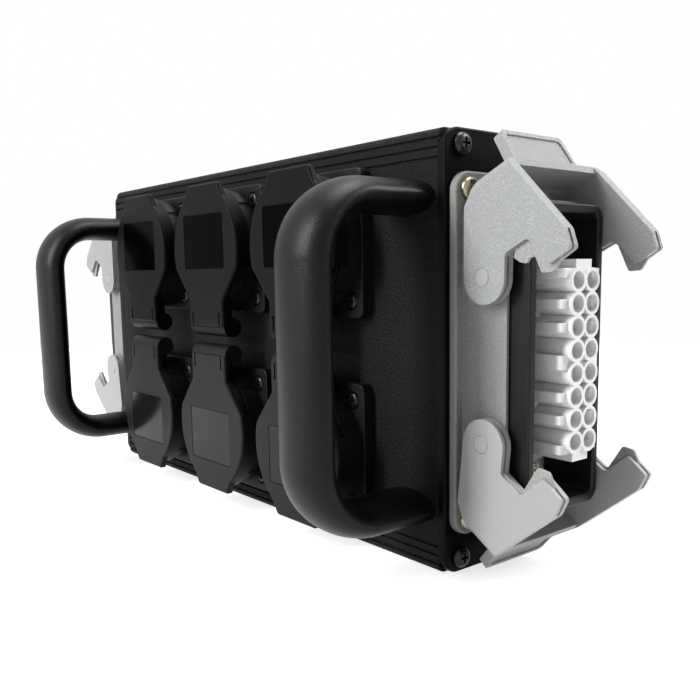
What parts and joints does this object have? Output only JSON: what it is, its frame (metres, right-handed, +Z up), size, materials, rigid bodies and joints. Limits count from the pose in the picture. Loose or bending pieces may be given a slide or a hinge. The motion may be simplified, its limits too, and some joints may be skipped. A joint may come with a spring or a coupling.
{
  "type": "portable power distribution box",
  "caption": "Flat black metal box with lidded domestic sockets on the front, a D handle at each end and a rectangular multi-pole connector with locking levers on each end plate.",
  "frame": {"origin": "centre of the face that the box rests on, its lower narrow side", "axes": "+X along the length towards the outlet connector, -Y out of the front with the sockets, +Z up"},
  "size_m": [0.3344, 0.0929, 0.14],
  "materials": {
    "shell_coat": "textured black powder coat",
    "plate_coat": "satin black powder coat",
    "handle_coat": "fine textured black powder coat",
    "black_screw": "black zinc",
    "zinc_screw": "bright zinc",
    "socket_plastic": "black moulded plastic",
    "lid_plastic": "charcoal moulded plastic",
    "contact_brass": "plain brass",
    "plated_pin": "silver plated",
    "spring_steel": "bright steel",
    "seal_rubber": "matt black rubber",
    "die_cast_coat": "light grey powder coat",
    "lever_plastic": "light grey moulded plastic",
    "insert_plastic": "pale grey moulded plastic",
    "hook_steel": "zinc plated steel",
    "wire_sheath": "black cable sheath"
  },
  "bodies": {
    "box": {"housing_profile": "shell_coat", "end_plate_left": "plate_coat", "end_plate_right": "plate_coat", "end_plate_screws": "black_screw", "handle_left": "handle_coat", "handle_right": "handle_coat", "handle_screws": "zinc_screw", "hinge_pins": "spring_steel", "lid_springs": "spring_steel", "socket_gaskets": "seal_rubber", "socket_screws": "zinc_screw", "connector_gaskets": "seal_rubber", "connector_screws": "zinc_screw", "insert_screws": "zinc_screw", "lever_pegs": "hook_steel", "wiring_trunk": "wire_sheath", "wiring_branches": "wire_sheath", "socket_body_1": "socket_plastic", "socket_contacts_1": "contact_brass", "socket_body_2": "socket_plastic", "socket_contacts_2": "contact_brass", "socket_body_3": "socket_plastic", "socket_contacts_3": "contact_brass", "socket_body_4": "socket_plastic", "socket_contacts_4": "contact_brass", "socket_body_5": "socket_plastic", "socket_contacts_5": "contact_brass", "socket_body_6": "socket_plastic", "socket_contacts_6": "contact_brass", "inlet_housing": "die_cast_coat", "inlet_rim_seal": "seal_rubber", "inlet_insert": "insert_plastic", "inlet_contacts": "plated_pin", "inlet_earth_terminals": "plated_pin", "outlet_housing": "die_cast_coat", "outlet_rim_seal": "seal_rubber", "outlet_insert": "insert_plastic", "outlet_contacts": "plated_pin", "outlet_earth_terminals": "plated_pin"},
    "lid_1": {"socket_lid_1": "lid_plastic", "lid_seal_1": "seal_rubber"},
    "lid_2": {"socket_lid_2": "lid_plastic", "lid_seal_2": "seal_rubber"},
    "lid_3": {"socket_lid_3": "lid_plastic", "lid_seal_3": "seal_rubber"},
    "lid_4": {"socket_lid_4": "lid_plastic", "lid_seal_4": "seal_rubber"},
    "lid_5": {"socket_lid_5": "lid_plastic", "lid_seal_5": "seal_rubber"},
    "lid_6": {"socket_lid_6": "lid_plastic", "lid_seal_6": "seal_rubber"},
    "outlet_lever_upper": {"outlet_lever_upper": "lever_plastic", "outlet_hook_plates_upper": "hook_steel"},
    "outlet_lever_lower": {"outlet_lever_lower": "lever_plastic", "outlet_hook_plates_lower": "hook_steel"},
    "inlet_lever_upper": {"inlet_lever_upper": "lever_plastic", "inlet_hook_plates_upper": "hook_steel"},
    "inlet_lever_lower": {"inlet_lever_lower": "lever_plastic", "inlet_hook_plates_lower": "hook_steel"}
  },
  "joints": [
    {"name": "lid_1_hinge", "type": "hinge", "parent": "box", "child": "lid_1", "pos_m": [-0.0585, -0.035, 0.0755], "axis": [1, 0, 0], "range_deg": [0, 90], "stiffness_Nm_per_rad": 0.02, "springref_deg": -60.16},
    {"name": "lid_2_hinge", "type": "hinge", "parent": "box", "child": "lid_2", "pos_m": [0.002, -0.035, 0.0755], "axis": [1, 0, 0], "range_deg": [0, 90], "stiffness_Nm_per_rad": 0.02, "springref_deg": -60.16},
    {"name": "lid_3_hinge", "type": "hinge", "parent": "box", "child": "lid_3", "pos_m": [0.0625, -0.035, 0.0755], "axis": [1, 0, 0], "range_deg": [0, 90], "stiffness_Nm_per_rad": 0.02, "springref_deg": -60.16},
    {"name": "lid_4_hinge", "type": "hinge", "parent": "box", "child": "lid_4", "pos_m": [-0.0585, -0.035, 0.0645], "axis": [-1, 0, 0], "range_deg": [0, 90], "stiffness_Nm_per_rad": 0.02, "springref_deg": -60.16},
    {"name": "lid_5_hinge", "type": "hinge", "parent": "box", "child": "lid_5", "pos_m": [0.002, -0.035, 0.0645], "axis": [-1, 0, 0], "range_deg": [0, 90], "stiffness_Nm_per_rad": 0.02, "springref_deg": -60.16},
    {"name": "lid_6_hinge", "type": "hinge", "parent": "box", "child": "lid_6", "pos_m": [0.0625, -0.035, 0.0645], "axis": [-1, 0, 0], "range_deg": [0, 90], "stiffness_Nm_per_rad": 0.02, "springref_deg": -60.16},
    {"name": "outlet_lever_upper_pivot", "type": "hinge", "parent": "box", "child": "outlet_lever_upper", "pos_m": [0.1367, 0, 0.0947], "axis": [0, -1, 0], "range_deg": [-31, 8]},
    {"name": "outlet_lever_lower_pivot", "type": "hinge", "parent": "box", "child": "outlet_lever_lower", "pos_m": [0.1367, 0, 0.0453], "axis": [0, 1, 0], "range_deg": [-37.5, 1.5]},
    {"name": "inlet_lever_upper_pivot", "type": "hinge", "parent": "box", "child": "inlet_lever_upper", "pos_m": [-0.1367, 0, 0.0947], "axis": [0, 1, 0], "range_deg": [-31, 8]},
    {"name": "inlet_lever_lower_pivot", "type": "hinge", "parent": "box", "child": "inlet_lever_lower", "pos_m": [-0.1367, 0, 0.0453], "axis": [0, -1, 0], "range_deg": [-37.5, 1.5]}
  ]
}
